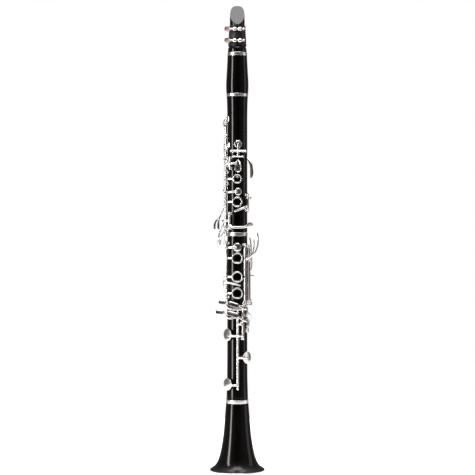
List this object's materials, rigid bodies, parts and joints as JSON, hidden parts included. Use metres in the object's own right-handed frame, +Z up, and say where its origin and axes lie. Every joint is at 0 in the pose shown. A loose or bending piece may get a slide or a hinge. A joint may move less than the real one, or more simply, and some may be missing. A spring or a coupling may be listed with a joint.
{
  "type": "clarinet",
  "caption": "Clarinet of black wood with silvered keys, rings and pillars, a sprung key work on steel pivots, reed and ligature, standing on its bell.",
  "frame": {"origin": "centre of the bell's rim, on the bore axis, where the instrument stands", "axes": "+Z up along the bore to the mouthpiece tip, -Y towards the finger holes and keys, +X to the side of the left-hand little-finger levers"},
  "size_m": [0.0794, 0.0794, 0.667],
  "materials": {
    "grenadilla": "satin",
    "ebonite": "gloss",
    "cane": "matte",
    "ligature": "satin",
    "cork": "matte",
    "silver": "polished",
    "steel": "satin"
  },
  "bodies": {
    "instrument": {"bell": "grenadilla", "bell_socket_ring": "silver", "bell_rim_ring": "silver", "bell_tenon_cork": "cork", "lower_joint": "grenadilla", "lower_joint_socket_ring": "silver", "middle_tenon_cork": "cork", "upper_joint": "grenadilla", "upper_tenon_cork": "cork", "register_tube": "silver", "thumb_tube": "silver", "thumb_rest": "silver", "register_pillars": "steel", "throat_a_pillars": "steel", "throat_g_sharp_pillars": "steel", "side_trill_pillars": "steel", "side_key_pillars": "steel", "upper_stack_pillars": "steel", "upper_sliver_pillars": "steel", "c_sharp_pillars": "steel", "thumb_ring_pillars": "steel", "lower_stack_pillars": "steel", "lower_sliver_pillars": "steel", "front_pillars": "steel", "f_sharp_pillars": "steel", "right_rod_pillars": "steel", "left_lever_pillars": "steel"},
    "barrel": {"barrel": "grenadilla", "barrel_top_ring": "silver", "barrel_bottom_ring": "silver"},
    "mouthpiece": {"mouthpiece": "ebonite", "mouthpiece_cork": "cork", "reed": "cane", "ligature_band": "ligature"},
    "ligature_screw_upper": {"ligature_screw_upper": "silver"},
    "ligature_screw_lower": {"ligature_screw_lower": "silver"},
    "register_key": {"register_key": "silver"},
    "throat_g_sharp_key": {"throat_g_sharp_key": "silver"},
    "index_ring_key": {"index_ring_key": "silver"},
    "middle_ring_key": {"middle_ring_key": "silver"},
    "upper_sliver_key": {"upper_sliver_key": "silver"},
    "c_sharp_key": {"c_sharp_key": "silver"},
    "thumb_ring_key": {"thumb_ring_key": "silver"},
    "lower_ring_key": {"lower_ring_key": "silver"},
    "lower_sliver_key": {"lower_sliver_key": "silver"},
    "e_b_key": {"e_b_key": "silver"},
    "f_c_pad_key": {"f_c_pad_key": "silver"},
    "f_sharp_key": {"f_sharp_key": "silver"},
    "a_flat_key": {"a_flat_key": "silver"},
    "f_c_lever": {"f_c_lever": "silver"},
    "left_f_sharp_lever": {"left_f_sharp_lever": "silver"},
    "left_e_lever": {"left_e_lever": "silver"},
    "left_f_lever": {"left_f_lever": "silver"},
    "throat_a_key": {"throat_a_key": "silver"},
    "side_trill_key_upper": {"side_trill_key_upper": "silver"},
    "side_trill_key_lower": {"side_trill_key_lower": "silver"},
    "side_b_flat_key": {"side_b_flat_key": "silver"},
    "side_e_flat_key": {"side_e_flat_key": "silver"}
  },
  "joints": [
    {"name": "barrel_tuning", "type": "slide", "parent": "instrument", "child": "barrel", "axis": [0, 0, 1], "range_m": [0, 0.003]},
    {"name": "mouthpiece_twist", "type": "hinge", "parent": "barrel", "child": "mouthpiece", "pos_m": [0, 0, 0.598], "axis": [0, 0, 1], "range_deg": [-45, 45]},
    {"name": "ligature_screw_lower_turn", "type": "hinge", "parent": "mouthpiece", "child": "ligature_screw_lower", "pos_m": [0, -0.0147, 0.6145], "axis": [1, 0, 0], "range_deg": [0, 720]},
    {"name": "ligature_screw_upper_turn", "type": "hinge", "parent": "mouthpiece", "child": "ligature_screw_upper", "pos_m": [0, -0.0147, 0.6306], "axis": [1, 0, 0], "range_deg": [0, 720]},
    {"name": "register_key_hinge", "type": "hinge", "parent": "instrument", "child": "register_key", "pos_m": [-0.0165, 0.00667, 0.475], "axis": [0, 0, 1], "range_deg": [-8, 0], "stiffness_Nm_per_rad": 0.03, "springref_deg": 20.05},
    {"name": "throat_g_sharp_key_hinge", "type": "hinge", "parent": "instrument", "child": "throat_g_sharp_key", "pos_m": [-0.0106, -0.0143, 0.44], "axis": [0, 0, 1], "range_deg": [0, 8], "stiffness_Nm_per_rad": 0.03, "springref_deg": -20.05},
    {"name": "index_ring_key_hinge", "type": "hinge", "parent": "instrument", "child": "index_ring_key", "pos_m": [-0.01671, -0.00615, 0.419], "axis": [0, 0, 1], "range_deg": [0, 4], "stiffness_Nm_per_rad": 0.03, "springref_deg": -20.05},
    {"name": "middle_ring_key_hinge", "type": "hinge", "parent": "instrument", "child": "middle_ring_key", "pos_m": [-0.01671, -0.00615, 0.378], "axis": [0, 0, 1], "range_deg": [0, 4], "stiffness_Nm_per_rad": 0.03, "springref_deg": -20.05},
    {"name": "upper_sliver_key_hinge", "type": "hinge", "parent": "instrument", "child": "upper_sliver_key", "pos_m": [0.015, -0.00958, 0.384], "axis": [0, 0, 1], "range_deg": [-6.5, 0], "stiffness_Nm_per_rad": 0.03, "springref_deg": 20.05},
    {"name": "c_sharp_key_hinge", "type": "hinge", "parent": "instrument", "child": "c_sharp_key", "pos_m": [-0.0112, -0.01384, 0.358], "axis": [0, 0, 1], "range_deg": [0, 7], "stiffness_Nm_per_rad": 0.03, "springref_deg": -20.05},
    {"name": "thumb_ring_key_hinge", "type": "hinge", "parent": "instrument", "child": "thumb_ring_key", "pos_m": [0.01144, 0.01364, 0.428], "axis": [0, 0, 1], "range_deg": [0, 5], "stiffness_Nm_per_rad": 0.03, "springref_deg": -20.05},
    {"name": "lower_ring_key_hinge", "type": "hinge", "parent": "instrument", "child": "lower_ring_key", "pos_m": [-0.0153, -0.00909, 0.288], "axis": [0, 0, 1], "range_deg": [0, 4], "stiffness_Nm_per_rad": 0.03, "springref_deg": -20.05},
    {"name": "lower_sliver_key_hinge", "type": "hinge", "parent": "instrument", "child": "lower_sliver_key", "pos_m": [-0.01753, -0.00309, 0.2685], "axis": [0, 0, 1], "range_deg": [0, 7], "stiffness_Nm_per_rad": 0.03, "springref_deg": -20.05},
    {"name": "e_b_key_hinge", "type": "hinge", "parent": "instrument", "child": "e_b_key", "pos_m": [0.0005, -0.01779, 0.172], "axis": [0, 0, 1], "range_deg": [-6.5, 0], "stiffness_Nm_per_rad": 0.03, "springref_deg": 20.05},
    {"name": "f_c_pad_key_hinge", "type": "hinge", "parent": "instrument", "child": "f_c_pad_key", "pos_m": [0.0005, -0.01779, 0.188], "axis": [0, 0, 1], "range_deg": [0, 8], "stiffness_Nm_per_rad": 0.03, "springref_deg": -20.05},
    {"name": "f_sharp_key_hinge", "type": "hinge", "parent": "instrument", "child": "f_sharp_key", "pos_m": [0.008, -0.0159, 0.213], "axis": [0, 0, 1], "range_deg": [-6.5, 0], "stiffness_Nm_per_rad": 0.03, "springref_deg": 20.05},
    {"name": "a_flat_key_hinge", "type": "hinge", "parent": "instrument", "child": "a_flat_key", "pos_m": [0.0136, -0.01148, 0.23], "axis": [0, 0, 1], "range_deg": [-7, 0], "stiffness_Nm_per_rad": 0.03, "springref_deg": 20.05},
    {"name": "f_c_lever_hinge", "type": "hinge", "parent": "instrument", "child": "f_c_lever", "pos_m": [0.0136, -0.01148, 0.214], "axis": [0, 0, 1], "range_deg": [-3, 0], "stiffness_Nm_per_rad": 0.03, "springref_deg": 20.05},
    {"name": "left_f_sharp_lever_hinge", "type": "hinge", "parent": "instrument", "child": "left_f_sharp_lever", "pos_m": [0.0109, -0.01407, 0.282], "axis": [0, 0, 1], "range_deg": [0, 6], "stiffness_Nm_per_rad": 0.03, "springref_deg": -20.05},
    {"name": "left_e_lever_hinge", "type": "hinge", "parent": "instrument", "child": "left_e_lever", "pos_m": [0.0148, -0.00989, 0.281], "axis": [0, 0, 1], "range_deg": [0, 6], "stiffness_Nm_per_rad": 0.03, "springref_deg": -20.05},
    {"name": "left_f_lever_hinge", "type": "hinge", "parent": "instrument", "child": "left_f_lever", "pos_m": [0.01727, -0.00431, 0.281], "axis": [0, 0, 1], "range_deg": [0, 6], "stiffness_Nm_per_rad": 0.03, "springref_deg": -20.05},
    {"name": "throat_a_key_hinge", "type": "hinge", "parent": "instrument", "child": "throat_a_key", "pos_m": [0.00152, -0.01733, 0.457], "axis": [0.9962, 0.0872, 0], "range_deg": [0, 9], "stiffness_Nm_per_rad": 0.03, "springref_deg": -20.05},
    {"name": "side_trill_key_upper_hinge", "type": "hinge", "parent": "instrument", "child": "side_trill_key_upper", "pos_m": [-0.0183, 0, 0.446], "axis": [0, -1, 0], "range_deg": [0, 2.8], "stiffness_Nm_per_rad": 0.03, "springref_deg": -20.05},
    {"name": "side_trill_key_lower_hinge", "type": "hinge", "parent": "instrument", "child": "side_trill_key_lower", "pos_m": [-0.0183, 0, 0.446], "axis": [0, -1, 0], "range_deg": [0, 2.8], "stiffness_Nm_per_rad": 0.03, "springref_deg": -20.05},
    {"name": "side_b_flat_key_hinge", "type": "hinge", "parent": "instrument", "child": "side_b_flat_key", "pos_m": [-0.0149, 0.01063, 0.402], "axis": [-0.5807, -0.8141, 0], "range_deg": [0, 4], "stiffness_Nm_per_rad": 0.03, "springref_deg": -20.05},
    {"name": "side_e_flat_key_hinge", "type": "hinge", "parent": "instrument", "child": "side_e_flat_key", "pos_m": [-0.0149, 0.01063, 0.402], "axis": [-0.5807, -0.8141, 0], "range_deg": [0, 4], "stiffness_Nm_per_rad": 0.03, "springref_deg": -20.05}
  ],
  "couplings": [
    {"joint": "middle_ring_key_hinge", "follows": "lower_ring_key_hinge", "ratio": 1},
    {"joint": "f_c_pad_key_hinge", "follows": "f_c_lever_hinge", "ratio": -2.2},
    {"joint": "left_f_lever_hinge", "follows": "f_c_lever_hinge", "ratio": -1.6},
    {"joint": "left_f_sharp_lever_hinge", "follows": "f_sharp_key_hinge", "ratio": -0.9},
    {"joint": "left_e_lever_hinge", "follows": "e_b_key_hinge", "ratio": -0.7}
  ]
}
